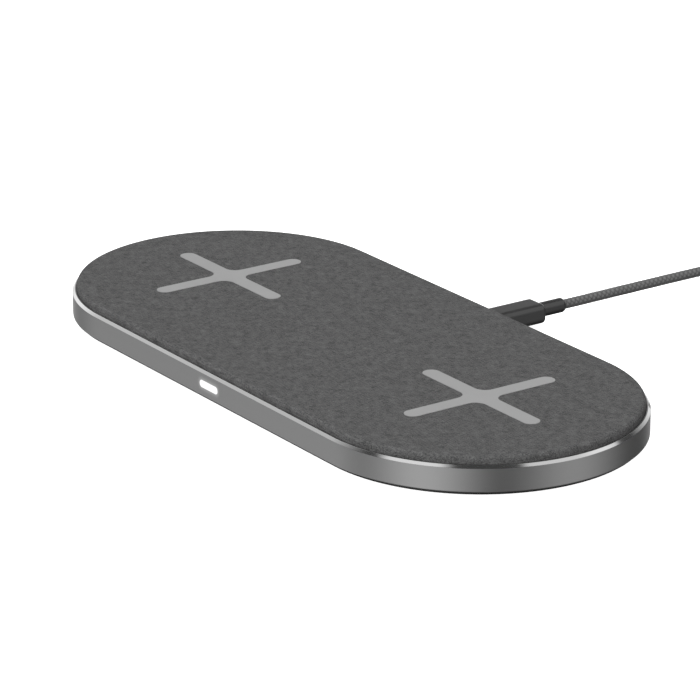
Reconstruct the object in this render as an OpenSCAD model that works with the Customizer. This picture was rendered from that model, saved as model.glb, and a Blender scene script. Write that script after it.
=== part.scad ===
// Twin wireless charging pad with a plug-in USB lead. All lengths are in millimetres.
// The pad is a low stadium: two half-round ends joined by straight sides. X runs along it,
// +Y points out of its socket and +Z is up. The origin is on the standing surface, under the
// middle of the pad.

/* [Pad] */
// Overall length of the metal frame
pad_length = 234; // [226:1:244]
// Overall width of the metal frame
pad_width = 104; // [103:0.5:108]
// Height of the fabric top above the standing surface
fabric_top = 12.1; // [11.8:0.1:12.4]
// Height of the metal frame's top edge above the standing surface
frame_top = 9.7; // [9.5:0.05:9.9]
// Height of the metal frame's lower edge above the standing surface
frame_bottom = 1.5; // [1.3:0.05:1.7]
// Thickness of the metal frame's wall
frame_wall = 1.3; // [1.2:0.05:1.4]
// Width of the polished chamfer round the frame's top edge
chamfer = 0.8; // [0.3:0.05:0.9]
// Radius of the fabric's rolled edge
fabric_roll = 1.3; // [1.1:0.1:1.6]
// Thickness of the fabric
fabric_thick = 0.6; // [0.4:0.05:0.65]
// How far the anti-slip ring stands out below the base
foot_proud = 0.6; // [0.4:0.05:0.8]

/* [Charging marks and coils] */
// Distance of each charging centre from the middle of the pad
charge_x = 67.5; // [66:0.5:68]
// Overall length of each arm pair of a charging mark
mark_span = 54.5; // [40:0.5:60]
// Width of a mark's arms
mark_arm = 5.4; // [4:0.1:7]
// Radius of the mark's inner corners
mark_fillet = 3.7; // [1:0.1:6]
// Height that a mark stands above the fabric
mark_proud = 0.15; // [0.1:0.05:0.3]
// Outer radius of a charging coil
coil_r = 22; // [20:0.5:24]
// Number of turns of wire in a charging coil
coil_turns = 11; // [6:1:12]
// Radius of the ferrite behind a coil
ferrite_r = 26; // [25:0.5:26.5]

/* [Status light] */
// Length of the status light
light_w = 9.8; // [6:0.1:12]
// Height of the status light
light_h = 2.5; // [1.5:0.1:3]
// Height of the status light's middle
light_z = 5.5; // [5.2:0.05:5.8]

/* [Plug on the pad's lead] */
// Width of the plug's moulded body
plug_w = 9.8; // [9.6:0.1:10.6]
// Thickness of the plug's moulded body
plug_h = 6.5; // [5.6:0.1:6.6]
// Length of the plug's moulded body
plug_len = 21.05; // [20.5:0.05:21.5]
// Height of the socket's and plug's axis
plug_z = 5.1; // [5:0.05:5.2]
// Diameter of the strain relief behind the plug
relief_d = 4.8; // [4.4:0.1:5.2]
// Length of the strain relief behind the plug
relief_len = 10.2; // [9:0.1:10.2]

/* [Lead] */
// Diameter of the braided lead
lead_d = 3.2; // [3:0.1:3.3]
// Radius of the innermost turn of the stored coil of lead, to the lead's centre
store_inner = 14.2; // [12.8:0.1:15]
// Number of turns side by side in the stored coil
store_columns = 4; // [3:1:4]
// Number of layers of turns in the stored coil
store_layers = 2; // [1:1:2]

/* [Supply plug] */
// Width of the supply plug's moulded body
supply_w = 15.5; // [14:0.1:16]
// Thickness of the supply plug's moulded body
supply_h = 8; // [7:0.1:8]
// Length of the supply plug's moulded body
supply_len = 26; // [20:0.5:27]

/* [Hidden] */

ROUND = 96;
SMALL = 32;
LIFT = 0.01;

// Pad outline and the heights of its layers
frame_r = pad_width / 2;
cap_x = pad_length / 2 - frame_r;
bore_r = frame_r - frame_wall;
ledge_z = 8.6;
ledge_thick = 0.8;
ledge_r = bore_r - 1.5;
side_gap = 0.15;
base_bottom = foot_proud;
base_top = 2;
base_edge_r = frame_r - 1.2;
base_spigot_r = bore_r - side_gap;
foot_pocket = 0.4;
foot_mid_r = frame_r - 13;
foot_half = 3;
fabric_r = bore_r - side_gap;
plate_gap = 0.05;
plate_r = fabric_r - fabric_thick - plate_gap;
plate_top = fabric_top - fabric_thick - plate_gap;

// Charging coils, stacked below the top plate
coil_thick = 1;
coil_top = ledge_z - 0.1;
ferrite_thick = 1;
ferrite_top = coil_top - coil_thick - 0.05;
carrier_floor = 0.9;
carrier_bottom = ferrite_top - ferrite_thick - carrier_floor - 0.05;
carrier_gap = 0.2;
carrier_wall = 1.4;
rib_r = 20;
rib_wall = 1.4;
wire_d = 1;
notch_w = 6;

// Circuit board, hung above the socket
socket_w = 8.44;
socket_h = 2.66;
socket_wall = 0.3;
socket_depth = 7.3;
socket_mouth = frame_r - 0.4;
board_z = plug_z + socket_h / 2 + socket_wall + 0.05;
board_thick = 0.8;
board_x = 60;
board_y = 96;
board_post = [26, 38];
base_post = [36, foot_mid_r];
corner_post = foot_mid_r * sqrt(0.5);
post_r = 2.5;
screw_r = 0.95;
head_r = 1.6;

// Plugs
shell_w = 8.25;
shell_h = 2.4;
shell_wall = 0.28;
shell_in = 6.4;
plug_front = frame_r + 0.25;
plug_back = plug_front + plug_len;
relief_back = plug_back + relief_len;
plug_corner = 2.2;
plug_back_corner = 1;
supply_y = 189;
supply_z = supply_h / 2;
supply_relief_x = 56;
supply_relief_len = 8;
supply_front = supply_relief_x + supply_relief_len + supply_len;
supply_shell_len = 18;

// Stored coil of lead: its middle, and its outer shape
store_outer = store_inner + (store_columns - 1) * lead_d;
store_x = 23.8;
store_y = 165;
store_bottom = 0.5;
store_top = store_bottom + store_layers * lead_d + 0.05;
tie_w = 6;
tie_thick = 0.45;
tie_angle = -40;

// Route of the lead from the plug's strain relief to the stored coil: x, y, z of its centre
LEAD_ROUTE = [
    [0, 83.5, 5.1], [0, 87, 5.1], [0, 91, 5.1], [0, 96, 5.15], [0, 101, 5.15],
    [0, 106, 5.2], [0, 111, 5.2], [0, 116, 5.25], [0, 121, 5.25], [0, 126, 5.3],
    [0, 131, 5.3], [0, 136, 5.3], [0, 141, 5.25], [0, 146, 4.95], [0, 151, 4.35],
    [0, 156, 3.4], [0, 160, 2.65], [0, 165, 2.1]
];
// Route of the lead from the stored coil to the supply plug
TAIL_ROUTE = [
    [23.8, 188.8, 5.3], [28, 188.8, 5.3], [32, 188.9, 5.2], [36, 189, 5],
    [40, 189, 4.7], [44, 189, 4.4], [48, 189, 4.15], [52, 189, 4], [56, 189, 4]
];
TUBE_SIDES = 8;

// ---- shared shapes ----

// A stadium outline: half-round ends of radius r centred at +half and -half
module stadium(r, half = cap_x) {
    square([2 * half, 2 * r], center = true);
    for (side = [-1, 1])
        translate([side * half, 0])
            circle(r = r, $fn = ROUND);
}

// A flat stadium slab between two heights
module slab(r, low, high) {
    translate([0, 0, low])
        linear_extrude(high - low)
            stadium(r);
}

// Sweeps a profile round the stadium; the profile's x is the radius and its y the height
module around() {
    for (turn = [0, 180])
        rotate([0, 0, turn]) {
            translate([cap_x, 0, 0])
                rotate([0, 0, -90])
                    rotate_extrude(angle = 180, $fn = ROUND)
                        children();
            translate([-cap_x, 0, 0])
                rotate([90, 0, 90])
                    linear_extrude(2 * cap_x)
                        children();
        }
}

// A rectangle with four round corners
module round_rect(w, h, r) {
    square([w - 2 * r, h], center = true);
    square([w, h - 2 * r], center = true);
    for (sx = [-1, 1], sy = [-1, 1])
        translate([sx * (w / 2 - r), sy * (h / 2 - r)])
            circle(r = r, $fn = SMALL);
}

// A pill: a rectangle with half-round ends
module pill(w, h) {
    square([w - h, h], center = true);
    for (side = [-1, 1])
        translate([side * (w - h) / 2, 0])
            circle(d = h, $fn = SMALL);
}

// Extrudes an outline, drawn in x and z, along Y
module along_y(y0, y1, z = 0) {
    translate([0, y1, z])
        rotate([90, 0, 0])
            linear_extrude(y1 - y0)
                children();
}

// Extrudes an outline, drawn in y and z, along X
module along_x(x0, x1, y = 0, z = 0) {
    translate([x0, y, z])
        rotate([90, 0, 90])
            linear_extrude(x1 - x0)
                children();
}

// A block by its middle, size and lower face
module block(mid, size, low) {
    translate([mid[0] - size[0] / 2, mid[1] - size[1] / 2, low])
        cube(size);
}

// Places a shape at every screw post between base and top plate
module at_base_posts() {
    for (sx = [-1, 1], sy = [-1, 1]) {
        translate([sx * base_post[0], sy * base_post[1], 0])
            children();
        translate([sx * (cap_x + corner_post), sy * corner_post, 0])
            children();
    }
}

// Places a shape at every screw post of the circuit board
module at_board_posts() {
    for (sx = [-1, 1], sy = [-1, 1])
        translate([sx * board_post[0], sy * board_post[1], 0])
            children();
}

// A round post or hole between two heights
module post(r, low, high) {
    translate([0, 0, low])
        cylinder(r = r, h = high - low, $fn = SMALL);
}

// ---- sweeping the lead ----

function unit(v) = v / norm(v);
function heading(route, i) =
    unit(route[min(i + 1, len(route) - 1)] - route[max(i - 1, 0)]);
function ring(centre, ahead, r) =
    let (side = unit(cross(ahead, [0, 0, 1])), up = cross(side, ahead))
    [for (k = [0:TUBE_SIDES - 1])
        let (a = 360 * k / TUBE_SIDES)
        centre + r * (cos(a) * side + sin(a) * up)];

// A tube of the given radius along a route
module tube(route, r) {
    count = len(route);
    points = [for (i = [0:count - 1]) each ring(route[i], heading(route, i), r)];
    walls = [for (i = [0:count - 2], k = [0:TUBE_SIDES - 1])
        let (n = (k + 1) % TUBE_SIDES, a = i * TUBE_SIDES, b = a + TUBE_SIDES)
        each [[a + k, b + k, b + n], [a + k, b + n, a + n]]];
    start = [[for (k = [0:TUBE_SIDES - 1]) k]];
    end = [[for (k = [TUBE_SIDES - 1:-1:0]) (count - 1) * TUBE_SIDES + k]];
    polyhedron(points = points, faces = concat(walls, start, end));
}

// ---- the pad's case ----

module socket_opening(grow) {
    along_y(bore_r - 3, frame_r + 1, plug_z)
        pill(socket_w + 2 * socket_wall + grow, socket_h + 2 * socket_wall + grow);
}

module light_opening(grow) {
    along_y(-frame_r - 1, -bore_r + 3, light_z)
        pill(light_w + grow, light_h + grow);
}

module frame_ring() {
    color([0.62, 0.62, 0.63])
        difference() {
            around()
                polygon([
                    [bore_r, frame_bottom], [frame_r, frame_bottom],
                    [frame_r, frame_top - chamfer], [frame_r - chamfer, frame_top],
                    [bore_r, frame_top], [bore_r, ledge_z], [ledge_r, ledge_z],
                    [ledge_r, ledge_z - ledge_thick], [bore_r, ledge_z - ledge_thick]
                ]);
            socket_opening(0.1);
            light_opening(0.1);
        }
}

module base_plate() {
    counterbore_top = base_top;
    pad_top = base_top + 1;
    color([0.06, 0.06, 0.065])
        difference() {
            union() {
                slab(base_edge_r, base_bottom, frame_bottom);
                slab(base_spigot_r, frame_bottom - LIFT, base_top);
                at_base_posts()
                    post(post_r + 0.5, base_top - LIFT, pad_top);
                at_board_posts()
                    post(post_r, base_top - LIFT, board_z);
                for (side = [-1, 1])
                    translate([side * charge_x, 0, base_top - LIFT])
                        rotate_extrude($fn = ROUND)
                            translate([rib_r, 0])
                                square([rib_wall, carrier_bottom - base_top + LIFT]);
            }
            slab_ring(foot_mid_r - foot_half, foot_mid_r + foot_half, 0, base_bottom + foot_pocket);
            at_base_posts() {
                post(head_r + 0.2, 0, counterbore_top);
                post(screw_r + 0.2, 0, pad_top + 1);
            }
            at_board_posts()
                post(screw_r + 0.05, base_top, board_z + 1);
        }
}

// A flat stadium ring between two radii and two heights
module slab_ring(inner, outer, low, high) {
    difference() {
        slab(outer, low, high);
        slab(inner, low - 1, high + 1);
    }
}

module foot_ring() {
    color([0.1, 0.1, 0.1])
        slab_ring(foot_mid_r - foot_half + 0.1, foot_mid_r + foot_half - 0.1,
            0, base_bottom + foot_pocket);
}

module top_plate() {
    edge = 1;
    color([0.16, 0.16, 0.17])
        difference() {
            union() {
                around() {
                    translate([0, ledge_z])
                        square([plate_r, plate_top - edge - ledge_z]);
                    translate([0, ledge_z])
                        square([plate_r - edge, plate_top - ledge_z]);
                    translate([plate_r - edge, plate_top - edge])
                        circle(r = edge, $fn = SMALL);
                }
                at_base_posts()
                    post(post_r, base_top + 1, ledge_z + LIFT);
            }
            at_base_posts()
                post(screw_r + 0.05, 0, ledge_z - 0.5);
        }
}

module fabric_cover() {
    color([0.35, 0.35, 0.36])
        difference() {
            around() {
                translate([0, ledge_z])
                    square([fabric_r, fabric_top - fabric_roll - ledge_z]);
                translate([0, ledge_z])
                    square([fabric_r - fabric_roll, fabric_top - ledge_z]);
                translate([fabric_r - fabric_roll, fabric_top - fabric_roll])
                    circle(r = fabric_roll, $fn = SMALL);
            }
            slab(plate_r + plate_gap, ledge_z - 1, plate_top - 1);
            slab(plate_r + plate_gap - 1, plate_top - 2, plate_top + plate_gap);
            around()
                translate([plate_r - 1, plate_top - 1])
                    circle(r = 1 + plate_gap, $fn = SMALL);
        }
}

// One charging mark: a cross with round ends and filleted inner corners
module charge_mark() {
    corner = mark_arm / 2 + mark_fillet;
    color([0.68, 0.68, 0.68])
        translate([0, 0, fabric_top])
            linear_extrude(mark_proud) {
                pill(mark_span, mark_arm);
                rotate(90)
                    pill(mark_span, mark_arm);
                difference() {
                    square(2 * corner, center = true);
                    for (sx = [-1, 1], sy = [-1, 1])
                        translate([sx * corner, sy * corner])
                            circle(r = mark_fillet, $fn = SMALL);
                }
            }
}

// ---- charging coils ----

module charge_coil() {
    pitch = wire_d;
    color([0.72, 0.42, 0.2])
        translate([0, 0, coil_top - coil_thick / 2])
            rotate_extrude($fn = ROUND) {
                for (i = [0:coil_turns - 1])
                    translate([coil_r - wire_d / 2 - i * pitch, 0])
                        circle(d = wire_d, $fn = SMALL);
                translate([coil_r - coil_turns * pitch + wire_d / 2, -wire_d / 4])
                    square([(coil_turns - 1) * pitch, wire_d / 2]);
            }
}

module ferrite() {
    color([0.2, 0.2, 0.21])
        translate([0, 0, ferrite_top - ferrite_thick])
            difference() {
                cylinder(r = ferrite_r, h = ferrite_thick, $fn = ROUND);
                translate([0, 0, -1])
                    cylinder(r = 3, h = ferrite_thick + 2, $fn = SMALL);
            }
}

// A shallow cup that holds ferrite and coil against the top plate, with a notch for the leads
module coil_carrier() {
    inner = ferrite_r + carrier_gap;
    color([0.85, 0.85, 0.84])
        difference() {
            translate([0, 0, carrier_bottom])
                cylinder(r = inner + carrier_wall, h = ledge_z - 0.05 - carrier_bottom, $fn = ROUND);
            translate([0, 0, carrier_bottom + carrier_floor])
                cylinder(r = inner, h = 10, $fn = ROUND);
            translate([-inner - 3, -notch_w / 2, ferrite_top - LIFT])
                cube([6, notch_w, 10]);
        }
}

module thermistor() {
    color([0.05, 0.05, 0.06])
        post(1.2, ferrite_top - ferrite_thick, coil_top - 0.2);
}

// The coil's two wire ends, running flat to the board's edge and down to its pads
module coil_leads() {
    reach = charge_x - board_x / 2 + 3;
    height = coil_top - wire_d / 2;
    drop = height - board_z - board_thick;
    color([0.72, 0.42, 0.2])
        for (end = [-1, 1])
            translate([0, end * 1.5, 0]) {
                translate([-reach, 0, height])
                    rotate([0, 90, 0])
                        cylinder(d = wire_d * 0.8, h = reach - coil_r - 0.2, $fn = SMALL);
                translate([-reach, 0, height - drop])
                    cylinder(d = wire_d * 0.8, h = drop, $fn = SMALL);
            }
}

// Puts a right-hand part at its charging centre
module right() {
    translate([charge_x, 0, 0])
        children();
}

// Turns a right-hand part round to the left charging centre
module left() {
    rotate([0, 0, 180])
        right()
            children();
}

// ---- circuit board ----

module main_board() {
    color([0.05, 0.25, 0.14])
        difference() {
            block([0, 0], [board_x, board_y, board_thick], board_z);
            at_board_posts()
                post(screw_r + 0.2, 0, 20);
        }
}

// Two charging controllers and their four power switches, on the board's lower side
module controller_chips() {
    color([0.08, 0.08, 0.08])
        for (side = [-1, 1]) {
            block([side * 11, 0], [6, 6, 0.9], board_z - 0.9);
            for (row = [-1, 1])
                block([side * 19, row * 12], [4, 5, 1], board_z - 1);
        }
}

module power_inductors() {
    color([0.25, 0.25, 0.26])
        for (side = [-1, 1])
            block([side * 18, 22], [7, 7, 3], board_z - 3);
}

// Film capacitors in line with each coil
module resonance_capacitors() {
    color([0.62, 0.5, 0.36])
        for (side = [-1, 1], i = [-1:1])
            block([side * 22, i * 5 - 24], [4.6, 3.2, 1.2], board_z - 1.2);
}

// A thin steel lid soldered over the power stage, on the board's lower side
module shield_can() {
    w = 24;
    d = 18;
    h = 2.6;
    wall = 0.25;
    color([0.75, 0.75, 0.76])
        difference() {
            block([0, -14], [w, d, h], board_z - h);
            block([0, -14], [w - 2 * wall, d - 2 * wall, h], board_z - h + wall);
        }
}

module status_led() {
    color([0.95, 0.94, 0.8])
        block([0, -board_y / 2 + 1.2], [3.2, 2, 1.2], board_z - 1.2);
}

// Clear bar that carries the light from the board to the frame's front
module light_pipe() {
    back = board_y / 2 + 0.1;
    color([1, 1, 1]) {
        along_y(-frame_r - 0.05, -bore_r, light_z)
            pill(light_w, light_h);
        along_y(-bore_r - LIFT, -back, light_z)
            pill(light_w + 2, light_h - 0.3);
    }
}

// ---- socket and screws ----

module socket_shell() {
    color([0.78, 0.78, 0.8])
        difference() {
            along_y(socket_mouth - socket_depth, socket_mouth, plug_z)
                pill(socket_w + 2 * socket_wall, socket_h + 2 * socket_wall);
            along_y(socket_mouth - socket_depth + 0.4, socket_mouth + 1, plug_z)
                pill(socket_w, socket_h);
        }
}

module socket_tongue() {
    color([0.1, 0.1, 0.1])
        along_y(socket_mouth - socket_depth + 0.4, socket_mouth - 1.4, plug_z)
            square([6.6, 0.7], center = true);
}

// A small screw with its head down: heights of head, collar and tip
module screw(head, collar, tip) {
    post(head_r, head, collar);
    post(screw_r, collar - LIFT, tip);
}

module base_screws() {
    color([0.55, 0.55, 0.57])
        at_base_posts()
            difference() {
                screw(base_bottom + foot_pocket + 0.1, base_top, 7);
                post(0.6, base_bottom, base_bottom + foot_pocket + 0.5);
            }
}

module board_screws() {
    top = board_z + board_thick;
    color([0.55, 0.55, 0.57])
        at_board_posts()
            difference() {
                union() {
                    post(head_r, top, top + 0.9);
                    post(screw_r, base_top + 0.5, top + LIFT);
                }
                post(0.6, top + 0.45, top + 2);
            }
}

// ---- the lead's pad plug ----

module plug_shell() {
    inner_w = shell_w - 2 * shell_wall;
    inner_h = shell_h - 2 * shell_wall;
    color([0.8, 0.8, 0.82])
        difference() {
            along_y(plug_front - shell_in - 0.1, plug_front + 5, plug_z)
                pill(shell_w, shell_h);
            along_y(plug_front - shell_in - 1, plug_front + 6, plug_z)
                pill(inner_w, inner_h);
        }
}

// Moulded block behind the shell's mouth, with a slot round the socket's tongue
module plug_insulator() {
    inner_w = shell_w - 2 * shell_wall;
    inner_h = shell_h - 2 * shell_wall;
    mouth = plug_front - shell_in;
    color([0.05, 0.05, 0.05])
        difference() {
            along_y(mouth + 0.2, plug_front + 5, plug_z)
                pill(inner_w - LIFT, inner_h - LIFT);
            along_y(mouth - 1, mouth + 5.4, plug_z)
                square([6.9, 1.05], center = true);
        }
}

module plug_housing() {
    mid = (plug_front + plug_back) / 2;
    color([0.16, 0.16, 0.17])
        difference() {
            intersection() {
                along_y(plug_front, plug_back, plug_z)
                    round_rect(plug_w, plug_h, plug_corner);
                translate([0, mid, 0])
                    linear_extrude(20)
                        union() {
                            round_rect(plug_w, plug_len, plug_back_corner);
                            translate([0, -plug_len / 4])
                                square([plug_w, plug_len / 2 - LIFT], center = true);
                        }
            }
            along_y(plug_front - 1, plug_front + 5, plug_z)
                pill(shell_w, shell_h);
        }
}

// A round collar behind a plug: a sleeve with a rounded end, about the lead's axis
module strain_relief(length, d) {
    round_r = 1;
    rotate_extrude($fn = ROUND) {
        square([d / 2, length - round_r]);
        square([d / 2 - round_r, length]);
        translate([d / 2 - round_r, length - round_r])
            circle(r = round_r, $fn = SMALL);
    }
}

module plug_strain_relief() {
    color([0.13, 0.13, 0.14])
        translate([0, plug_back, plug_z])
            rotate([-90, 0, 0])
                strain_relief(relief_back - plug_back, relief_d);
}

// ---- the lead and its stored coil ----

module cable_lead() {
    color([0.42, 0.42, 0.44])
        tube(LEAD_ROUTE, lead_d / 2);
}

module cable_tail() {
    color([0.42, 0.42, 0.44])
        tube(TAIL_ROUTE, lead_d / 2);
}

module cable_coil() {
    inner = store_inner - lead_d / 2;
    outer = store_outer + lead_d / 2;
    color([0.42, 0.42, 0.44])
        translate([store_x, store_y, 0])
            rotate_extrude($fn = ROUND)
                translate([(inner + outer) / 2, (store_bottom + store_top) / 2])
                    round_rect(outer - inner, store_top - store_bottom, 1.4);
}

// Soft strap round the stored coil, closed into a rounded loop
module cable_tie() {
    inner = store_inner - lead_d / 2 - 0.4;
    outer = store_outer + lead_d / 2 + 0.05;
    mid_r = (inner + outer) / 2;
    mid_z = (store_bottom + store_top) / 2;
    w = outer - inner;
    h = store_top - store_bottom;
    color([0.08, 0.08, 0.08])
        translate([store_x, store_y, 0])
            rotate([0, 0, tie_angle])
                translate([mid_r, tie_w / 2, mid_z])
                    rotate([90, 0, 0])
                        linear_extrude(tie_w)
                            difference() {
                                round_rect(w + 2 * tie_thick, h + 2 * tie_thick, 1.5);
                                round_rect(w, h, 1.1);
                            }
}

// ---- the supply plug ----

module supply_strain_relief() {
    color([0.13, 0.13, 0.14])
        translate([supply_relief_x + supply_relief_len, supply_y, supply_z])
            rotate([0, -90, 0])
                strain_relief(supply_relief_len, relief_d);
}

module supply_housing() {
    back = supply_relief_x + supply_relief_len;
    color([0.16, 0.16, 0.17])
        difference() {
            along_x(back, supply_front, supply_y, supply_z)
                round_rect(supply_w, supply_h, 2);
            along_x(supply_front - 8, supply_front + 1, supply_y, supply_z)
                square([12, 4.5], center = true);
        }
}

module supply_shell() {
    wall = 0.3;
    color([0.8, 0.8, 0.82])
        difference() {
            along_x(supply_front - 8, supply_front + supply_shell_len, supply_y, supply_z)
                square([12, 4.5], center = true);
            along_x(supply_front - 9, supply_front + supply_shell_len + 1, supply_y, supply_z)
                square([12 - 2 * wall, 4.5 - 2 * wall], center = true);
            for (face = [-1, 1], side = [-1, 1])
                block([supply_front + 7, supply_y + side * 2.8], [2.5, 2.2, 1],
                    supply_z + face * 2.25 - 0.5);
        }
}

module supply_tongue() {
    reach = supply_front + supply_shell_len - 0.6;
    color([0.92, 0.92, 0.92]) {
        along_x(supply_front - 8, reach, supply_y, supply_z - 1.05)
            square([11.3, 1.75], center = true);
        along_x(supply_front - 8, supply_front - 1, supply_y, supply_z)
            square([11.3, 3.85], center = true);
    }
}

// Four flat contacts on the tongue's upper face; the outer two reach further forward
module supply_contacts() {
    color([0.9, 0.72, 0.35])
        for (i = [-1.5:1:1.5])
            block([supply_front + 8 + (abs(i) > 1 ? 0.5 : 0), supply_y + 2.3 * i],
                [abs(i) > 1 ? 14 : 13, 1, 0.15], supply_z - 1.05 + 0.875);
}

// ---- draw ----

frame_ring();
base_plate();
foot_ring();
top_plate();
fabric_cover();
left() charge_mark();  // charge_mark_left
right() charge_mark();  // charge_mark_right
left() charge_coil();  // coil_left
right() charge_coil();  // coil_right
left() ferrite();  // ferrite_left
right() ferrite();  // ferrite_right
left() coil_carrier();  // coil_carrier_left
right() coil_carrier();  // coil_carrier_right
left() thermistor();  // thermistor_left
right() thermistor();  // thermistor_right
left() coil_leads();  // coil_leads_left
right() coil_leads();  // coil_leads_right
main_board();
controller_chips();
power_inductors();
resonance_capacitors();
shield_can();
status_led();
light_pipe();
socket_shell();
socket_tongue();
board_screws();
base_screws();
plug_shell();
plug_insulator();
plug_housing();
plug_strain_relief();
cable_lead();
cable_coil();
cable_tie();
cable_tail();
supply_strain_relief();
supply_housing();
supply_shell();
supply_tongue();
supply_contacts();
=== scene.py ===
"""A twin wireless charging pad with a fabric top, metal frame and braided USB lead."""
import math

import bmesh
import bpy
from mathutils import Matrix, Vector


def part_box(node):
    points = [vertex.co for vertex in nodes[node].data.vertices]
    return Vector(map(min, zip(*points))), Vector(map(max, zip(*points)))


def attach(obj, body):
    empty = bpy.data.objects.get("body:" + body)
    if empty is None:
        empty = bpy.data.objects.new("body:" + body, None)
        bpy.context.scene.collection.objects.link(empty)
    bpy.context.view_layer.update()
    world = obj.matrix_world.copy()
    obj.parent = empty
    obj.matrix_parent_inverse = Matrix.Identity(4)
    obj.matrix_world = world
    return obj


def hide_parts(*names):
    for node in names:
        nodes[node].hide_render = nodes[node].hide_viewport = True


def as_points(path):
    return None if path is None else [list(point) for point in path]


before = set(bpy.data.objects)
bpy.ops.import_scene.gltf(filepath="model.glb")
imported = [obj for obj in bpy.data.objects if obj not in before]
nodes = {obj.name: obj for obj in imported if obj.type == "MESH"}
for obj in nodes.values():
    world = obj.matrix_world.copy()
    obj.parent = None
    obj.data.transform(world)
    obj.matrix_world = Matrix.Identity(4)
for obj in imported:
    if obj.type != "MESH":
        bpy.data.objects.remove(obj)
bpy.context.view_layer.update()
MM = 0.001

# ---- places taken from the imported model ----

frame_low, frame_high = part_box("frame_ring")
FRAME_R = frame_high.y
CAP_X = frame_high.x - FRAME_R
FRAME_TOP = frame_high.z
FRAME_BOTTOM = frame_low.z
fabric_low, fabric_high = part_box("fabric_cover")
FABRIC_R = fabric_high.y
FABRIC_TOP = fabric_high.z
FABRIC_BOTTOM = fabric_low.z
plug_low, plug_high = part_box("plug_housing")
PLUG_Z = (plug_low.z + plug_high.z) / 2
light_low, light_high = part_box("light_pipe")
LIGHT_Z = (light_low.z + light_high.z) / 2
LIGHT_INNER_Y = light_high.y

# ---- camera ----

# Where the camera stands, as seen from the pad: angles, distance and small shifts in metres
CAM_AZIMUTH = math.radians(55.024)
CAM_ELEVATION = math.radians(19.862)
CAM_ROLL = math.radians(0.098)
CAM_DISTANCE = 1.19624
CAM_RIGHT = 0.000135
CAM_UP = 0.005745
CAM_BASE_Z = 0.0006
# Focal length and picture's side in pixels, sensor's width in millimetres
FOCAL_PIXELS = 3858
IMAGE_SIDE = 700
SENSOR = 36


def make_camera():
    """The camera, turned by its azimuth, elevation and roll towards the pad's middle."""
    back = Vector((
        math.sin(CAM_AZIMUTH) * math.cos(CAM_ELEVATION),
        -math.cos(CAM_AZIMUTH) * math.cos(CAM_ELEVATION),
        math.sin(CAM_ELEVATION)))
    flat_right = Vector((math.cos(CAM_AZIMUTH), math.sin(CAM_AZIMUTH), 0))
    flat_up = back.cross(flat_right)
    cos_r, sin_r = math.cos(CAM_ROLL), math.sin(CAM_ROLL)
    right = cos_r * flat_right + sin_r * flat_up
    up = -sin_r * flat_right + cos_r * flat_up
    camera = bpy.data.objects.new("camera", bpy.data.cameras.new("camera"))
    bpy.context.scene.collection.objects.link(camera)
    camera.data.sensor_width = SENSOR
    camera.data.lens = FOCAL_PIXELS * SENSOR / IMAGE_SIDE
    camera.data.clip_start = 0.05
    camera.data.clip_end = 50
    place = back * CAM_DISTANCE + flat_right * CAM_RIGHT + flat_up * CAM_UP
    place.z += CAM_BASE_Z
    turn = Matrix((right, up, back)).transposed().to_4x4()
    camera.matrix_world = Matrix.Translation(place) @ turn
    bpy.context.scene.camera = camera


make_camera()

# ---- mesh helpers ----

# Angle between faces, in degrees, beyond which an edge shades sharp
MOULDED_SHARP = 35
WINDOW_SHARP = 40
SWEPT_SHARP = 50
# Gap between a moulded body's rounded end and the ring that keeps its flat side flat in shading
END_REST = 0.3 * MM


def new_object(name, verts, faces, smooth=True):
    """A new object of the scene, made of vertices and faces."""
    mesh = bpy.data.meshes.new(name)
    mesh.from_pydata([tuple(v) for v in verts], [], faces)
    mesh.validate()
    mesh.update()
    obj = bpy.data.objects.new(name, mesh)
    bpy.context.scene.collection.objects.link(obj)
    for polygon in mesh.polygons:
        polygon.use_smooth = smooth
    return obj


def stadium(cap_r, arc_steps, side_steps):
    """Points (x, y, nx, ny) round the stadium at a cap radius, anticlockwise from the front-right joint."""
    points = []
    for centre, first in ((CAP_X, -math.pi / 2), (-CAP_X, math.pi / 2)):
        for i in range(arc_steps):
            a = first + math.pi * i / arc_steps
            points.append((centre + cap_r * math.cos(a), cap_r * math.sin(a), math.cos(a), math.sin(a)))
        side = 1 if centre > 0 else -1
        for i in range(side_steps):
            x = side * (CAP_X - 2 * CAP_X * i / side_steps)
            points.append((x, side * cap_r, 0, side))
    return points


def set_sharp(obj, degrees):
    """Shades the object smooth up to an angle between its faces, and sharp beyond it."""
    obj.data.set_sharp_from_angle(angle=math.radians(degrees))


def face_outward(obj):
    """Turns the faces of a closed mesh outward."""
    mesh = bmesh.new()
    mesh.from_mesh(obj.data)
    bmesh.ops.recalc_face_normals(mesh, faces=mesh.faces)
    mesh.to_mesh(obj.data)
    mesh.free()


def rounded(corners, steps=4):
    """A closed outline with arcs: corners are (x, y, radius)."""
    outline = []
    count = len(corners)
    for i, (x, y, radius) in enumerate(corners):
        here = Vector((x, y))
        if radius == 0:
            outline.append(here)
            continue
        before = Vector(corners[i - 1][:2]) - here
        after = Vector(corners[(i + 1) % count][:2]) - here
        half = before.angle(after) / 2
        reach = radius / math.tan(half)
        first = here + before.normalized() * reach
        last = here + after.normalized() * reach
        centre = here + (before.normalized() + after.normalized()).normalized() * radius / math.sin(half)
        start = first - centre
        sweep = start.angle_signed(last - centre)
        for k in range(steps + 1):
            turned = start.copy()
            turned.rotate(Matrix.Rotation(-sweep * k / steps, 2))
            outline.append(centre + turned)
    return outline


def with_rests(outline, gap, least):
    """Adds a point a small gap in from both ends of every side over the least length, so flats shade flat."""
    full = []
    for here, there in zip(outline, outline[1:] + outline[:1]):
        full.append(here)
        span = (there - here).length
        if span > least:
            full += [here.lerp(there, gap / span), here.lerp(there, 1 - gap / span)]
    return full


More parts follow.
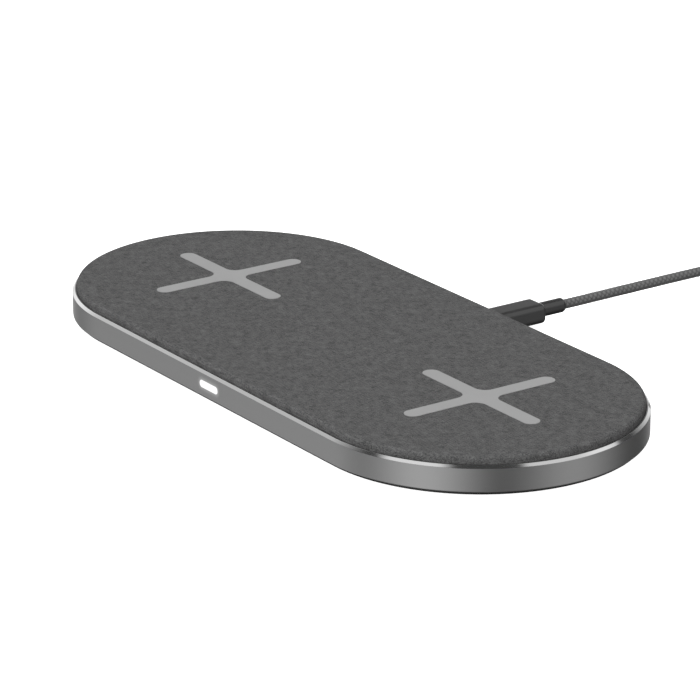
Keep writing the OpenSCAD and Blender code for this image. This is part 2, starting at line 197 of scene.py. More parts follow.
def moulded(name, section, stations, place):
    """A closed body: section(inset) is its outline at each (along, inset) station."""
    rings = [section(inset) for _, inset in stations]
    count = len(rings[0])
    verts = [place(along, p) for (along, _), ring in zip(stations, rings) for p in ring]
    faces = []
    for i in range(len(rings) - 1):
        a, b = i * count, (i + 1) * count
        for k in range(count):
            n = (k + 1) % count
            faces.append((a + k, a + n, b + n, b + k))
    faces.append(tuple(reversed(range(count))))
    faces.append(tuple(range((len(rings) - 1) * count, len(rings) * count)))
    body = new_object(name, verts, faces)
    face_outward(body)
    set_sharp(body, MOULDED_SHARP)
    return body


def rounded_ends(start, end, start_r, end_r, steps=7):
    """Stations from start to end with both ends rounded over by their radii."""
    first = [(start_r * (1 - math.sin(a)), start_r * (1 - math.cos(a)))
             for a in (math.pi / 2 * (1 - i / steps) for i in range(steps + 1))]
    last = [(end_r * (1 - math.sin(a)), end_r * (1 - math.cos(a)))
            for a in (math.pi / 2 * i / steps for i in range(steps + 1))]
    lead_in = [(start + along, inset) for along, inset in first]
    lead_out = [(end - along, inset) for along, inset in last]
    rests = [(lead_in[-1][0] + END_REST, 0), (lead_out[0][0] - END_REST, 0)]
    return lead_in + rests + lead_out


def sweep_round(name, profile, arc_steps, side_steps, closed=True):
    """Sweeps a profile of (cap radius, z) points round the stadium."""
    base = stadium(0, arc_steps, side_steps)
    rings = len(base)
    count = len(profile)
    verts = [(x + nx * r, y + ny * r, z) for x, y, nx, ny in base for r, z in profile]
    faces = []
    spans = count if closed else count - 1
    for i in range(rings):
        a = i * count
        b = (i + 1) % rings * count
        for j in range(spans):
            k = (j + 1) % count
            faces.append((a + j, b + j, b + k, a + k))
    return new_object(name, verts, faces)


def tube_mesh(name, points, radius_at, sides):
    """A closed tube along points; radius_at(ring, side) gives each vertex its radius."""
    verts, faces = [], []
    count = len(points)
    normal = Vector((0, 0, 1))
    for i, p in enumerate(points):
        ahead = (points[min(i + 1, count - 1)] - points[max(i - 1, 0)]).normalized()
        side = ahead.cross(normal).normalized()
        up = side.cross(ahead)
        for k in range(sides):
            a = 2 * math.pi * k / sides
            verts.append(p + radius_at(i, k) * (math.cos(a) * side + math.sin(a) * up))
    for i in range(count - 1):
        for k in range(sides):
            n = (k + 1) % sides
            a, b = i * sides, (i + 1) * sides
            faces.append((a + k, b + k, b + n, a + n))
    faces.append(tuple(range(sides)))
    faces.append(tuple(reversed(range((count - 1) * sides, count * sides))))
    return new_object(name, verts, faces)


# ---- the lead ----

LEAD_D = 3.2 * MM
# The stored coil: radius of its inner turn, turns side by side, centre, height of its lower layer
# and the rise to its upper one
STORE_INNER = 14.2 * MM
STORE_COLUMNS = 4
STORE_X = 23.8 * MM
STORE_Y = 165 * MM
STORE_LOW = 2.1 * MM
STORE_RISE = 3.25 * MM
STORE_TURNS = 2 * STORE_COLUMNS - 1 + 0.25
TURN_STEPS = 48
# Where in a turn the lead starts to cross to the next column, or to climb, and the part of a turn it takes
CROSS_FROM = 0.75
CROSS_PART = 0.17
CLIMB_FROM = 0.8
CLIMB_PART = 0.2
# Route from the plug's strain relief to the stored coil, as in the CAD source, in millimetres
LEAD_ROUTE = [
    (0, 83.5, 5.1), (0, 87, 5.1), (0, 91, 5.1), (0, 96, 5.15), (0, 101, 5.15),
    (0, 106, 5.2), (0, 111, 5.2), (0, 116, 5.25), (0, 121, 5.25), (0, 126, 5.3),
    (0, 131, 5.3), (0, 136, 5.3), (0, 141, 5.25), (0, 146, 4.95), (0, 151, 4.35),
    (0, 156, 3.4), (0, 160, 2.65), (0, 165, 2.1)]
# Route from the stored coil to the supply plug
TAIL_ROUTE = [
    (23.8, 188.8, 5.3), (28, 188.8, 5.3), (32, 188.9, 5.2), (36, 189, 5),
    (40, 189, 4.7), (44, 189, 4.4), (48, 189, 4.15), (52, 189, 4), (56, 189, 4)]


def ease(t):
    """A smooth step from 0 to 1."""
    t = min(max(t, 0), 1)
    return t * t * (3 - 2 * t)


def coil_points():
    """The stored coil: inwards on the lower layer, up, and outwards on the upper one."""
    outer = STORE_INNER + (STORE_COLUMNS - 1) * LEAD_D
    columns = [outer - i * LEAD_D for i in range(STORE_COLUMNS)]
    radii = columns + columns[::-1]
    points = []
    for i in range(1, int(STORE_TURNS * TURN_STEPS)):
        turn, part = divmod(i / TURN_STEPS, 1)
        turn = int(turn)
        here = radii[turn]
        there = radii[turn + 1] if turn + 1 < len(radii) else here
        radius = here + (there - here) * ease((part - CROSS_FROM) / CROSS_PART)
        z = STORE_LOW if turn < STORE_COLUMNS else STORE_LOW + STORE_RISE
        if turn == STORE_COLUMNS - 1:
            z += STORE_RISE * ease((part - CLIMB_FROM) / CLIMB_PART)
        angle = math.pi - 2 * math.pi * part
        points.append(Vector((
            STORE_X + radius * math.cos(angle), STORE_Y + radius * math.sin(angle), z)))
    return points


# Steps of the smooth curve between two points of the route
CURVE_STEPS = 12


def smooth_line(points, step):
    """Points a fixed step apart along a smooth curve through the given ones."""
    dense = []
    for i in range(len(points) - 1):
        p0 = points[max(i - 1, 0)]
        p1, p2 = points[i], points[i + 1]
        p3 = points[min(i + 2, len(points) - 1)]
        for k in range(CURVE_STEPS):
            t = k / CURVE_STEPS
            dense.append(0.5 * (
                2 * p1 + (p2 - p0) * t + (2 * p0 - 5 * p1 + 4 * p2 - p3) * t * t
                + (3 * p1 - p0 - 3 * p2 + p3) * t ** 3))
    dense.append(points[-1])
    line, carried = [dense[0]], 0.0
    for a, b in zip(dense, dense[1:]):
        span = (b - a).length
        while carried + span >= step:
            share = (step - carried) / span
            a = a.lerp(b, share)
            span = (b - a).length
            carried = 0.0
            line.append(a)
        carried += span
    if carried > step / 2:
        line.append(dense[-1])
    return line


# The braid: sides and ring spacing of its mesh, length of a strand's turn, strands each way, depth of relief
BRAID_SIDES = 28
BRAID_STEP = 0.34 * MM
BRAID_PITCH = 7.2 * MM
BRAID_STRANDS = 4
BRAID_RELIEF = 0.24 * MM
# Height of the braid's relief that lies at the lead's nominal radius
BRAID_LEVEL = 0.75


def braid_height(along, angle):
    """Height of a two-way braid, from 0 at the crossings' corners to 1 on each strand's middle."""
    a = BRAID_STRANDS * angle / (2 * math.pi)
    b = along / BRAID_PITCH * BRAID_STRANDS
    return math.sqrt(abs(math.sin(math.pi * (a + b)) * math.sin(math.pi * (a - b))))


def make_lead():
    """The braided lead, and the line along its middle."""
    route = [Vector(p) * MM for p in LEAD_ROUTE] + coil_points() + [Vector(p) * MM for p in TAIL_ROUTE]
    line = smooth_line(route, BRAID_STEP)

    def radius_at(i, k):
        angle = 2 * math.pi * k / BRAID_SIDES
        return LEAD_D / 2 + BRAID_RELIEF * (braid_height(i * BRAID_STEP, angle) - BRAID_LEVEL)

    lead = tube_mesh("braided_lead", line, radius_at, BRAID_SIDES)
    along = lead.data.attributes.new("braid_along", "FLOAT", "POINT")
    around = lead.data.attributes.new("braid_around", "FLOAT", "POINT")
    for i in range(len(line)):
        for k in range(BRAID_SIDES):
            along.data[i * BRAID_SIDES + k].value = i * BRAID_STEP
            around.data[i * BRAID_SIDES + k].value = k / BRAID_SIDES
    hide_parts("cable_lead", "cable_coil", "cable_tail")
    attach(lead, "cable")
    return lead, line


lead, LEAD_LINE = make_lead()

# ---- materials ----


class Nodes:
    """A material whose nodes are added and joined in short calls."""

    def __init__(self, name):
        self.material = bpy.data.materials.new(name)
        self.material.use_nodes = True
        self.tree = self.material.node_tree
        self.shader = self.tree.nodes["Principled BSDF"]

    def add(self, kind, **settings):
        """A new node of this kind."""
        node = self.tree.nodes.new("ShaderNode" + kind)
        for key, value in settings.items():
            setattr(node, key, value)
        return node

    def link(self, out, socket):
        """Joins a node's output to a socket."""
        self.tree.links.new(out, socket)

    def set(self, **values):
        """Sets the shader's own sockets."""
        for key, value in values.items():
            self.shader.inputs[key.replace("_", " ")].default_value = value

    def position(self):
        """The place on the object, in metres."""
        return self.add("TexCoord").outputs["Object"]

    def stretched(self, source, scale):
        """A place with each axis scaled, so that noise stretches along the axes scaled down."""
        node = self.add("Mapping")
        node.inputs["Scale"].default_value = scale
        self.link(source, node.inputs["Vector"])
        return node.outputs["Vector"]

    def noise(self, source, scale, detail=2.0, rough=0.5):
        """Noise between 0 and 1, at a scale in cells per metre."""
        node = self.add("TexNoise")
        node.inputs["Scale"].default_value = scale
        node.inputs["Detail"].default_value = detail
        node.inputs["Roughness"].default_value = rough
        self.link(source, node.inputs["Vector"])
        return node.outputs["Fac"]

    def math(self, operation, *values):
        """The result of a calculation on numbers or other nodes' outputs."""
        node = self.add("Math", operation=operation)
        for socket, value in zip(node.inputs, values):
            if isinstance(value, (int, float)):
                socket.default_value = value
            else:
                self.link(value, socket)
        return node.outputs[0]

    def ramp(self, source, low, high, dark, light):
        """Turns a value between low and high into a grey, or a colour, between dark and light."""
        node = self.add("ValToRGB")
        for element, place, tone in zip(node.color_ramp.elements, (low, high), (dark, light)):
            element.position = place
            element.color = (tone, tone, tone, 1) if isinstance(tone, float) else (*tone, 1)
        self.link(source, node.inputs["Fac"])
        return node.outputs["Color"]

    def bump(self, height, strength, distance):
        """Lets a height, over a distance in metres, tilt the surface's shading."""
        node = self.add("Bump")
        node.inputs["Strength"].default_value = strength
        node.inputs["Distance"].default_value = distance
        self.link(height, node.inputs["Height"])
        self.link(node.outputs["Normal"], self.shader.inputs["Normal"])


def metal(name, tone, roughness, grain, painted_glow=False):
    """Bare metal with a fine grain in its tone, roughness and surface."""
    m = Nodes(name)
    m.set(Metallic=1.0, Roughness=roughness)
    fine = m.noise(m.position(), 9000, 2.0)
    m.link(m.ramp(fine, 0.3, 0.7, tone * 0.96, tone * 1.04), m.shader.inputs["Base Color"])
    m.link(m.math("MULTIPLY_ADD", fine, roughness * 0.25, roughness * 0.875), m.shader.inputs["Roughness"])
    m.bump(fine, grain, 0.03 * MM)
    # Painted glow: the status light's spill is painted into the metal's emission round its window.
    if painted_glow:
        paint_light_spill(m)
    return m.material


# The status light's window, and its spill painted on the metal as a glow: strength, reach outside the window
# and inside it
WINDOW_W = 9.8 * MM
WINDOW_H = 2.3 * MM
SPILL = 0.13
SPILL_OUT = 1.7 * MM
SPILL_IN = 0.4 * MM


def paint_light_spill(m):
    """The status light's faint spill, painted on the metal round its window as an emission glow."""
    flat_half = (WINDOW_W - WINDOW_H) / 2
    split = m.add("SeparateXYZ")
    m.link(m.position(), split.inputs[0])
    beyond = m.math("MAXIMUM", m.math("SUBTRACT", m.math("ABSOLUTE", split.outputs["X"]), flat_half), 0.0)
    above = m.math("SUBTRACT", split.outputs["Z"], LIGHT_Z)
    away = m.math("SQRT", m.math("ADD", m.math("MULTIPLY", beyond, beyond), m.math("MULTIPLY", above, above)))
    front = m.math("LESS_THAN", split.outputs["Y"], 0.0)
    fall = m.add("MapRange", interpolation_type="SMOOTHERSTEP")
    m.link(away, fall.inputs["Value"])
    fall.inputs["From Min"].default_value = WINDOW_H / 2 + SPILL_OUT
    fall.inputs["From Max"].default_value = WINDOW_H / 2 - SPILL_IN
    fall.inputs["To Max"].default_value = SPILL
    m.link(m.math("MULTIPLY", fall.outputs[0], front), m.shader.inputs["Emission Strength"])
    m.set(Emission_Color=(1, 1, 1, 1))


def plastic(name, tone, roughness, grain=0.15, ior=1.5):
    """Moulded or printed material with a fine grain and a broad, faint unevenness of tone."""
    m = Nodes(name)
    m.set(Roughness=roughness, IOR=ior)
    fine = m.noise(m.position(), 6000, 3.0)
    broad = m.noise(m.position(), 120, 2.0)
    shade = m.math("MULTIPLY_ADD", broad, 0.12, 0.44)
    dark = tuple(c * 0.94 for c in tone)
    light = tuple(c * 1.06 for c in tone)
    m.link(m.ramp(shade, 0.42, 0.58, dark, light), m.shader.inputs["Base Color"])
    m.link(m.math("MULTIPLY_ADD", fine, 0.12, roughness - 0.06), m.shader.inputs["Roughness"])
    m.bump(fine, grain, 0.02 * MM)
    return m.material


# Distance between the cover's threads, and a slub's width as a share of its length
WEAVE_PITCH = 0.42 * MM
SLUB = 0.14


def fabric(name, tone):
    """A plain weave of melange yarn: fine threads, slubs along both directions, soft mottling."""
    m = Nodes(name)
    m.set(Roughness=0.92, IOR=1.35)
    place = m.position()
    split = m.add("SeparateXYZ")
    m.link(place, split.inputs[0])
    turns = math.pi / WEAVE_PITCH
    across = m.math("SINE", m.math("MULTIPLY", split.outputs["X"], turns))
    along = m.math("SINE", m.math("MULTIPLY", split.outputs["Y"], turns))
    weave = m.math("MULTIPLY", across, along)
    warp = m.noise(m.stretched(place, (SLUB, 1, 1)), 2900, 2.0, 0.6)
    weft = m.noise(m.stretched(place, (1, SLUB, 1)), 2900, 2.0, 0.6)
    over = m.math("GREATER_THAN", weave, 0.0)
    mixed = m.add("Mix", data_type="FLOAT")
    m.link(over, mixed.inputs["Factor"])
    m.link(warp, mixed.inputs["A"])
    m.link(weft, mixed.inputs["B"])
    blotch = m.noise(place, 260, 3.0, 0.6)
    tint = m.math("ADD", m.math("MULTIPLY", mixed.outputs[0], 0.8), m.math("MULTIPLY", blotch, 0.2))
    m.link(m.ramp(tint, 0.36, 0.64, tone * 0.45, tone * 1.57), m.shader.inputs["Base Color"])
    height = m.math("ADD", m.math("ABSOLUTE", weave), m.math("MULTIPLY", mixed.outputs[0], 1.2))
    m.bump(height, 0.5, 0.12 * MM)
    return m.material


def braid(name, tone):
    """Braided yarn: two directions of strands, each of fine threads, with painted shade in the gaps between
    them.
    """
    m = Nodes(name)
    m.set(Roughness=0.8, IOR=1.3)
    along = m.add("Attribute", attribute_name="braid_along").outputs["Fac"]
    around = m.add("Attribute", attribute_name="braid_around").outputs["Fac"]
    a = m.math("MULTIPLY", around, float(BRAID_STRANDS))
    b = m.math("MULTIPLY", along, BRAID_STRANDS / BRAID_PITCH)
    turns = [m.math(operation, a, b) for operation in ("ADD", "SUBTRACT")]
    waves = [m.math("SINE", m.math("MULTIPLY", turn, math.pi)) for turn in turns]
    height = m.math("SQRT", m.math("ABSOLUTE", m.math("MULTIPLY", *waves)))
    threads = m.noise(m.position(), 5200, 2.0, 0.6)
    # Painted shade: the yarn darkens where the strands' height falls, in the gaps between them. The fine
    # threads vary its tone at random.
    tint = m.math("ADD", m.math("MULTIPLY", height, 0.6), m.math("MULTIPLY", threads, 0.4))
    m.link(m.ramp(tint, 0.2, 0.85, tone * 0.5, tone * 1.25), m.shader.inputs["Base Color"])
    m.bump(m.math("ADD", height, threads), 0.6, 0.08 * MM)
    return m.material


def glowing(name, strength):
    """A frosted light window, lit from behind."""
    m = Nodes(name)
    m.set(Base_Color=(0.3, 0.3, 0.3, 1), Roughness=0.4, Emission_Color=(1, 1, 1, 1),
          Emission_Strength=strength)
    frost = m.noise(m.position(), 4000, 2.0)
    m.bump(frost, 0.1, 0.02 * MM)
    return m.material


def dress(obj, *materials):
    """Gives the object these materials instead of its own."""
    obj.data.materials.clear()
    for material in materials:
        obj.data.materials.append(material)


# The satin metal carries the status light's spill painted round its window as a glow.
SATIN_METAL = metal("satin_metal", 0.4, 0.36, 0.2, painted_glow=True)
POLISHED_METAL = metal("polished_metal", 0.5, 0.12, 0.03)
COVER_FABRIC = fabric("cover_fabric", 0.117)
MARK_PRINT = plastic("mark_print", (0.4, 0.4, 0.4), 0.6, 0.3)
BLACK_BASE = plastic("black_base", (0.012, 0.012, 0.013), 0.5)
FOOT_RUBBER = plastic("foot_rubber", (0.02, 0.02, 0.02), 0.8, 0.3)
PLUG_PLASTIC = plastic("plug_plastic", (0.016, 0.016, 0.016), 0.3, 0.01, ior=1.6)
RELIEF_RUBBER = plastic("relief_rubber", (0.014, 0.014, 0.014), 0.3, 0.01, ior=1.6)
BLACK_PLASTIC = plastic("black_plastic", (0.02, 0.02, 0.02), 0.45)
WHITE_PLASTIC = plastic("white_plastic", (0.8, 0.8, 0.8), 0.35)
STEEL = metal("plated_steel", 0.7, 0.22, 0.1)
SCREW_STEEL = metal("screw_steel", 0.5, 0.35, 0.2)
COPPER = plastic("enamelled_copper", (0.5, 0.16, 0.05), 0.3)
FERRITE = plastic("ferrite", (0.035, 0.035, 0.038), 0.6, 0.4)
BOARD = plastic("solder_resist", (0.006, 0.06, 0.025), 0.3, 0.1)
CHIP = plastic("chip_epoxy", (0.012, 0.012, 0.012), 0.55, 0.2)
CERAMIC = plastic("capacitor_ceramic", (0.35, 0.22, 0.1), 0.5)
CARRIER = plastic("carrier_plastic", (0.65, 0.65, 0.62), 0.5)
GOLD = metal("gold_plate", 0.7, 0.25, 0.1)
LIT = glowing("lit_window", 0.85)
LEAD_BRAID = braid("lead_braid", 0.19)
TIE_STRAP = plastic("tie_strap", (0.012, 0.012, 0.012), 0.8, 0.5)

dress(lead, LEAD_BRAID)

NODE_LOOKS = {
    "base_plate": BLACK_BASE, "foot_ring": FOOT_RUBBER, "top_plate": BLACK_PLASTIC,
    "charge_mark_left": MARK_PRINT, "charge_mark_right": MARK_PRINT,
    "coil_left": COPPER, "coil_right": COPPER, "coil_leads_left": COPPER, "coil_leads_right": COPPER,
    "ferrite_left": FERRITE, "ferrite_right": FERRITE, "power_inductors": FERRITE,
    "coil_carrier_left": CARRIER, "coil_carrier_right": CARRIER,
    "thermistor_left": CHIP, "thermistor_right": CHIP,
    "main_board": BOARD, "controller_chips": CHIP, "resonance_capacitors": CERAMIC,
    "shield_can": STEEL, "status_led": WHITE_PLASTIC, "light_pipe": LIT,
    "socket_shell": STEEL, "socket_tongue": BLACK_PLASTIC,
    "board_screws": SCREW_STEEL, "base_screws": SCREW_STEEL,
    "plug_shell": STEEL, "plug_insulator": BLACK_PLASTIC, "plug_housing": PLUG_PLASTIC,
    "plug_strain_relief": RELIEF_RUBBER, "cable_tie": TIE_STRAP,
    "supply_strain_relief": RELIEF_RUBBER, "supply_housing": PLUG_PLASTIC, "supply_shell": STEEL,
    "supply_tongue": WHITE_PLASTIC, "supply_contacts": GOLD,
    "frame_ring": SATIN_METAL, "fabric_cover": COVER_FABRIC}
for node_name, look in NODE_LOOKS.items():
    dress(nodes[node_name], look)

# ---- metal frame ----

CHAMFER = 0.8 * MM
WALL = 1.3 * MM
# The ledge inside the band, which the top plate rests on
LEDGE_Z = 8.6 * MM
LEDGE_THICK = 0.8 * MM
LEDGE_DEPTH = 1.5 * MM
# Roundings of the band's lower edge, of the chamfer's two edges and of the inner edge
FOOT_ROUND = 0.4 * MM
EDGE_ROUND = 0.08 * MM
INNER_ROUND = 0.1 * MM
# The opening for the light's window: its clearance and flare, and how far the window stands out of it
WINDOW_GAP = 0.05 * MM
WINDOW_FLARE = 0.02 * MM
WINDOW_PROUD = 0.03 * MM
# The opening for the socket, and its flare
SOCKET_W = 9.14 * MM
SOCKET_H = 3.36 * MM
SOCKET_FLARE = 0.15 * MM
# How far an opening's cut reaches inwards and outwards of the wall's face
CUT_IN = 4 * MM
CUT_OUT = 0.2 * MM
# Gap of the rings that keep the band's flats flat in shading, and the least flat that has them
BAND_REST = 0.06 * MM
BAND_FLAT = 0.2 * MM


def pill_bar(name, width, height, y0, y1, z, flare):
    """A pill-shaped bar along Y whose y1 end widens at 45 degrees, over twice the flare."""
    verts, faces = [], []
    steps = 24
    for y, grow in ((y0, 0), (y1 - math.copysign(flare, y1 - y0) * 2, 0), (y1, 2 * flare)):
        for side in (1, -1):
            for i in range(steps + 1):
                a = math.pi * (i / steps - 0.5)
                r = height / 2 + grow
                x = (width - height) / 2 + r * math.cos(a)
                verts.append((side * x, y, z + side * r * math.sin(a)))
    ring = 2 * (steps + 1)
    for i in range(2):
        for k in range(ring):
            n = (k + 1) % ring
            faces.append((i * ring + k, i * ring + n, (i + 1) * ring + n, (i + 1) * ring + k))
    faces.append(tuple(reversed(range(ring))))
    faces.append(tuple(range(2 * ring, 3 * ring)))
    bar = new_object(name, verts, faces)
    face_outward(bar)
    return bar


def apply_modifiers(obj):
    """Turns the result of the object's modifiers into its mesh."""
    bpy.context.view_layer.update()
    evaluated = obj.evaluated_get(bpy.context.evaluated_depsgraph_get())
    mesh = bpy.data.meshes.new_from_object(evaluated)
    obj.modifiers.clear()
    obj.data = mesh


def cut(obj, cutter):
    """Takes the cutter's shape out of the object, and removes the cutter."""
    modifier = obj.modifiers.new("cut", "BOOLEAN")
    modifier.operation = "DIFFERENCE"
    modifier.solver = "EXACT"
    modifier.object = cutter
    apply_modifiers(obj)
    bpy.data.objects.remove(cutter)


def make_frame():
    """The metal band: satin wall, polished chamfer, the light's window and the socket's opening."""
    inner = FRAME_R - WALL
    ledge = inner - LEDGE_DEPTH
    profile = rounded([
        (inner, FRAME_BOTTOM, 0), (FRAME_R, FRAME_BOTTOM, FOOT_ROUND),
        (FRAME_R, FRAME_TOP - CHAMFER, EDGE_ROUND), (FRAME_R - CHAMFER, FRAME_TOP, EDGE_ROUND),
        (inner, FRAME_TOP, INNER_ROUND), (inner, LEDGE_Z, 0), (ledge, LEDGE_Z, 0),
        (ledge, LEDGE_Z - LEDGE_THICK, 0), (inner, LEDGE_Z - LEDGE_THICK, 0)])
    profile = with_rests(profile, BAND_REST, BAND_FLAT)
    band = sweep_round("metal_frame", profile, arc_steps=120, side_steps=40)
    cut(band, pill_bar(
        "light_cut", WINDOW_W + WINDOW_GAP, WINDOW_H + WINDOW_GAP,
        -FRAME_R + CUT_IN, -FRAME_R - CUT_OUT, LIGHT_Z, WINDOW_FLARE))
    cut(band, pill_bar(
        "socket_cut", SOCKET_W, SOCKET_H,
        FRAME_R - CUT_IN, FRAME_R + CUT_OUT, PLUG_Z, SOCKET_FLARE))
    dress(band, SATIN_METAL, POLISHED_METAL)
    for polygon in band.data.polygons:
        tilted = 0.3 < polygon.normal.z < 0.9
        on_chamfer = tilted and polygon.center.z > FRAME_TOP - 1.1 * CHAMFER
        polygon.material_index = 1 if on_chamfer else 0
    set_sharp(band, SWEPT_SHARP)
    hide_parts("frame_ring")
    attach(band, "pad")


make_frame()


def make_window():
    """The status light's clear bar, lit at the frame's front."""
    front = -FRAME_R - WINDOW_PROUD
    window = pill_bar("light_window", WINDOW_W, WINDOW_H, LIGHT_INNER_Y, front, LIGHT_Z, 0)
    set_sharp(window, WINDOW_SHARP)
    dress(window, LIT)
    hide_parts("light_pipe")
    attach(window, "pad")


make_window()

# ---- fabric cover ----

# Radius over which the cloth rolls down at its edge, and its thickness with its backing
FABRIC_ROLL = 1.3 * MM
FABRIC_THICK = 0.6 * MM
# Cap radii of the rings that divide the cloth's flat top
FABRIC_RINGS = [44 * MM, 36 * MM, 28 * MM, 20 * MM, 12 * MM, 6 * MM, 2 * MM]


def rolled_edge(cap_r, top, roll, steps=10):
    """Profile points from the cloth's upright edge, over its roll and onto its flat top."""
    turns = [math.pi / 2 * i / steps for i in range(steps + 1)]
    return [(cap_r - roll * (1 - math.cos(a)), top - roll * (1 - math.sin(a))) for a in turns]


def make_fabric():
    """The woven cover: one sheet over the top plate, rolled over its edge down to the metal."""
    top = FABRIC_TOP
    inner_r = FABRIC_R - FABRIC_THICK
    inner_top = top - FABRIC_THICK
    outer = rolled_edge(FABRIC_R, top, FABRIC_ROLL)
    inner = rolled_edge(inner_r, inner_top, FABRIC_ROLL - FABRIC_THICK)
    outer = [(FABRIC_R, FABRIC_BOTTOM)] + outer + [(r, top) for r in FABRIC_RINGS]
    inner = [(inner_r, FABRIC_BOTTOM)] + inner + [(FABRIC_RINGS[-1], inner_top)]
    profile = inner[::-1] + outer
    skin = sweep_round("fabric_top", profile, arc_steps=96, side_steps=60, closed=False)
    mesh = bmesh.new()
    mesh.from_mesh(skin.data)
    edges = [e for e in mesh.edges if e.is_boundary]
    bmesh.ops.holes_fill(mesh, edges=edges, sides=0)
    mesh.to_mesh(skin.data)
    mesh.free()
    face_outward(skin)
    for polygon in skin.data.polygons:
        polygon.use_smooth = True
    set_sharp(skin, SWEPT_SHARP)
    dress(skin, COVER_FABRIC)
    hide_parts("fabric_cover")
    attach(skin, "pad")


make_fabric()

# ---- plugs ----

# Gap of the lines that keep a moulding's flats flat in shading, and the least flat that has them
PLUG_REST = 0.12 * MM
PLUG_FLAT = 1.2 * MM
# Corner radii of the two mouldings' sections
PLUG_CORNER = 2.2 * MM
SUPPLY_CORNER = 2.4 * MM
# Radii of the mouldings' ends: towards the metal shell and towards the strain relief
PLUG_FRONT_ROUND = 0.3 * MM
PLUG_REAR_ROUND = 1.0 * MM
SUPPLY_FRONT_ROUND = 0.6 * MM
SUPPLY_REAR_ROUND = 1.6 * MM
# A strain relief's round at the lead and in its moulding, and how far it reaches into that moulding
RELIEF_ROUND = 1.0 * MM
RELIEF_HIDDEN_ROUND = 0.1 * MM
RELIEF_SUNK = 0.3 * MM


def oblong(width, height, corner):
    """An outline by its inset: a rectangle with round corners that draws in as the inset grows."""
    def section(inset):
        w, h = width / 2 - inset, height / 2 - inset
        r = max(corner - inset, 0.05 * MM)
        outline = rounded([(-w, -h, r), (w, -h, r), (w, h, r), (-w, h, r)], 7)
        return with_rests(outline, PLUG_REST, PLUG_FLAT)
    return section


def disc(radius, sides=40):
    """A round outline by its inset."""
    def section(inset):
        r = radius - inset
        angles = [2 * math.pi * k / sides for k in range(sides)]
        return [Vector((r * math.cos(a), r * math.sin(a))) for a in angles]
    return section


def fit_to_lead(piece, node_name, look):
    """Dresses a moulding, puts it in its CAD node's place and lets it ride with the lead."""
    dress(piece, look)
    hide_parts(node_name)
    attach(piece, "cable")


def make_plug():
    """The plug at the pad: its moulding and its strain relief."""
    size = plug_high - plug_low
    relief_low, relief_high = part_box("plug_strain_relief")

    def along_y(y, p):
        return Vector((p.x, y, PLUG_Z + p.y))

    housing = moulded(
        "plug_body", oblong(size.x, size.z, PLUG_CORNER),
        rounded_ends(plug_low.y, plug_high.y, PLUG_FRONT_ROUND, PLUG_REAR_ROUND), along_y)
    relief = moulded(
        "plug_sleeve", disc((relief_high.x - relief_low.x) / 2),
        rounded_ends(relief_low.y - RELIEF_SUNK, relief_high.y, RELIEF_HIDDEN_ROUND, RELIEF_ROUND), along_y)
    fit_to_lead(housing, "plug_housing", PLUG_PLASTIC)
    fit_to_lead(relief, "plug_strain_relief", RELIEF_RUBBER)


def make_supply_plug():
    """The plug at the supply's end: its moulding and its strain relief."""
    low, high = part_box("supply_housing")
    middle = (low + high) / 2

    def along_x(x, p):
        return Vector((x, middle.y + p.x, middle.z + p.y))

    housing = moulded(
        "supply_body", oblong(high.y - low.y, high.z - low.z, SUPPLY_CORNER),
        rounded_ends(low.x, high.x, SUPPLY_REAR_ROUND, SUPPLY_FRONT_ROUND), along_x)
    relief_low, relief_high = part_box("supply_strain_relief")
    relief = moulded(
        "supply_sleeve", disc((relief_high.y - relief_low.y) / 2),
        rounded_ends(relief_low.x, relief_high.x + RELIEF_SUNK, RELIEF_ROUND, RELIEF_HIDDEN_ROUND), along_x)
    fit_to_lead(housing, "supply_housing", PLUG_PLASTIC)
    fit_to_lead(relief, "supply_strain_relief", RELIEF_RUBBER)
    return housing, relief


make_plug()
supply_pieces = make_supply_plug()
tuple(LEAD_LINE[0])
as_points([tuple(p) for p in LEAD_LINE[::4]] + [tuple(LEAD_LINE[-1])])

# ---- studio: floor and world ----

FLOOR_HALF = 3.0
# The floor lies a hair under the pad's foot, so that the two faces never coincide
FLOOR_Z = -0.1 * MM


def make_floor():
    """The pale floor, seen by the camera but neither mirrored nor thrown back by the pad."""
    verts = [(x * FLOOR_HALF, y * FLOOR_HALF, FLOOR_Z) for x, y in ((-1, -1), (1, -1), (1, 1), (-1, 1))]
    floor = new_object("floor", verts, [(0, 1, 2, 3)], smooth=False)
    m = Nodes("pale_floor")
    m.set(Base_Color=(0.9, 0.9, 0.9, 1), Roughness=1.0, Emission_Color=(1, 1, 1, 1), Emission_Strength=1.0)
    m.shader.inputs["Specular IOR Level"].default_value = 0.0
    dress(floor, m.material)
    floor.visible_glossy = False
    floor.visible_diffuse = False


# Soft boxes round the set: direction, angles from it in degrees at which the box is full and gone, radiance.
# A flag, which takes light away, has a negative radiance.
SET = [
    ((-0.90, 0.14, 0.42), 9, 50, 1.68),
    ((-0.09, -0.45, 0.88), 12, 18, 1.22),
    ((0.33, 0.53, 0.78), 24, 27, 1.02),
    ((0.24, 0.71, 0.66), 4, 14, 0.32),
    ((-0.61, 0.77, 0.17), 8, 38, 1.4),
    ((-0.82, 0.52, -0.24), 6, 24, 0.85),
    ((0.32, -0.91, -0.25), 8, 46, 1.03),
    ((0.85, 0.48, -0.24), 8, 46, 0.63),
    ((-0.69, -0.54, -0.49), 6, 32, 0.7),
    ((-0.77, 0.52, 0.42), 8, 25, -1.75),
    ((0.75, 0.50, 0.43), 5, 20, 1.2),
]
SET_BASE = 0.09
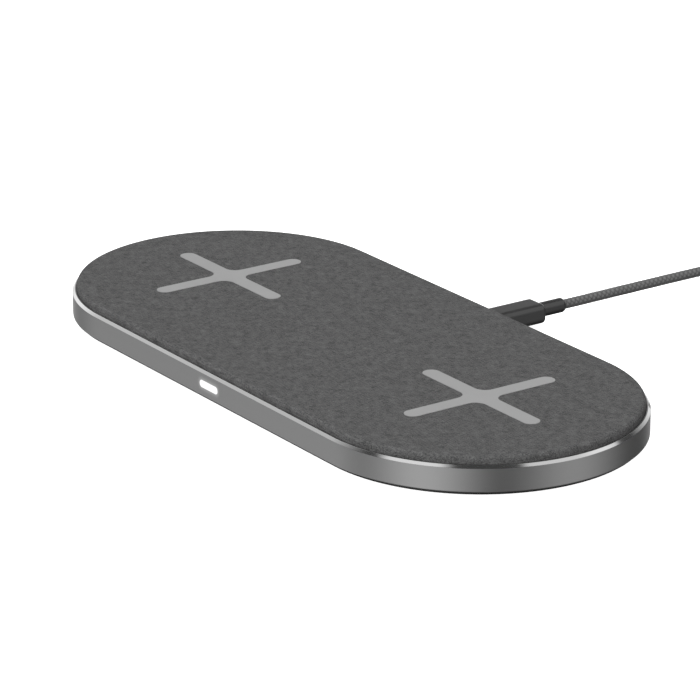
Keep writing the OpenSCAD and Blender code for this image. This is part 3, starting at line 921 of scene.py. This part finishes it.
# Soft key light on matt surfaces: where it comes from, its level sideways on, its strength and its least
KEY = (0.2, -0.6, 0.77)
KEY_LEVEL = 0.31
KEY_STRENGTH = 1.1
KEY_LEAST = 0.1


def make_world():
    """White to the camera, the set of soft boxes in mirrored rays and the soft key light on matt surfaces."""
    world = bpy.data.worlds.new("studio")
    world.use_nodes = True
    bpy.context.scene.world = world
    tree = world.node_tree
    tree.nodes.clear()
    output = tree.nodes.new("ShaderNodeOutputWorld")
    coord = tree.nodes.new("ShaderNodeTexCoord")

    def node(kind, *inputs, **settings):
        made = tree.nodes.new("ShaderNode" + kind)
        for key, value in settings.items():
            setattr(made, key, value)
        for socket, value in zip(made.inputs, inputs):
            if isinstance(value, bpy.types.NodeSocket):
                tree.links.new(value, socket)
            else:
                socket.default_value = value
        return made

    def dot_with(direction):
        toward = Vector(direction).normalized()
        return node("VectorMath", heading, toward, operation="DOT_PRODUCT").outputs["Value"]

    heading = coord.outputs["Generated"]
    total = SET_BASE
    for direction, full, gone, radiance in SET:
        angle = node("Math", dot_with(direction), operation="ARCCOSINE").outputs[0]
        spot = node("MapRange", angle, math.radians(gone), math.radians(full), 0.0, radiance).outputs[0]
        total = node("Math", spot, total, operation="ADD").outputs[0]
    total = node("Math", total, 0.0, operation="MAXIMUM").outputs[0]
    key = node("Math", dot_with(KEY), KEY_STRENGTH, KEY_LEVEL, operation="MULTIPLY_ADD").outputs[0]
    key = node("Math", key, KEY_LEAST, operation="MAXIMUM").outputs[0]
    plain = (1, 1, 1, 1)
    mirrored = node("Background", plain, total).outputs[0]
    matt = node("Background", plain, key).outputs[0]
    white = node("Background", plain, 1.0).outputs[0]
    path = tree.nodes.new("ShaderNodeLightPath")
    lit = node("MixShader", path.outputs["Is Diffuse Ray"], white, matt).outputs[0]
    lit = node("MixShader", path.outputs["Is Glossy Ray"], lit, mirrored).outputs[0]
    tree.links.new(lit, output.inputs["Surface"])
    world.cycles.sampling_method = "NONE"


make_floor()
make_world()
bpy.context.scene.view_settings.view_transform = "Standard"
bpy.context.scene.view_settings.look = "None"
